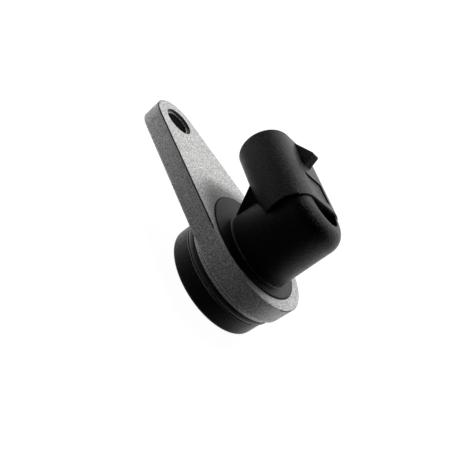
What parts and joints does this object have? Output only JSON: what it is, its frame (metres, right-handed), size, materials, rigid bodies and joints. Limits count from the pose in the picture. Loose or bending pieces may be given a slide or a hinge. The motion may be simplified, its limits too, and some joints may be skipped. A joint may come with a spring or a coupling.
{
  "type": "camshaft position sensor",
  "caption": "Camshaft position sensor: thick round sensing tip with a seal ring, flat bracket with one bolt ear, and a short column with a sideways oval connector barrel with a lock ramp.",
  "frame": {"origin": "centre of the pilot ring, in the plane of the flange's underside that seats on the engine", "axes": "+Z along the sensing tip's axis, away from the engine and towards the column; +X from the tip's axis towards the bolt ear; +Y across the ear. The tip points down, and the connector barrel points 29 degrees from +X towards -Y."},
  "size_m": [0.0647, 0.0373, 0.0382],
  "materials": {
    "sintered_metal": "matte fine-grained sintered steel",
    "black_plastic": "satin glass-filled nylon",
    "seal_rubber": "matte",
    "cap_plastic": "satin",
    "carrier_plastic": "matte",
    "magnet": "dull ground",
    "plate_steel": "plain",
    "chip_plastic": "matte moulded epoxy",
    "board": "green lacquer",
    "ceramic": "fired ceramic",
    "terminal_metal": "tinned",
    "lead_metal": "tinned",
    "solder": "bright",
    "potting_resin": "cast resin"
  },
  "bodies": {
    "root": {"mounting_bracket": "sintered_metal", "sensor_housing": "black_plastic", "seal_ring": "seal_rubber", "sensor_cap": "cap_plastic", "carrier": "carrier_plastic", "bias_magnet": "magnet", "back_plate": "plate_steel", "hall_element": "chip_plastic", "circuit_board": "board", "supply_capacitor": "ceramic", "output_capacitor": "ceramic", "terminal_supply": "terminal_metal", "terminal_ground": "terminal_metal", "terminal_output": "terminal_metal", "hall_lead_supply": "lead_metal", "hall_lead_ground": "lead_metal", "hall_lead_output": "lead_metal", "solder_terminal_supply": "solder", "solder_terminal_ground": "solder", "solder_terminal_output": "solder", "solder_lead_supply": "solder", "solder_lead_ground": "solder", "solder_lead_output": "solder", "potting": "potting_resin"}
  },
  "joints": []
}
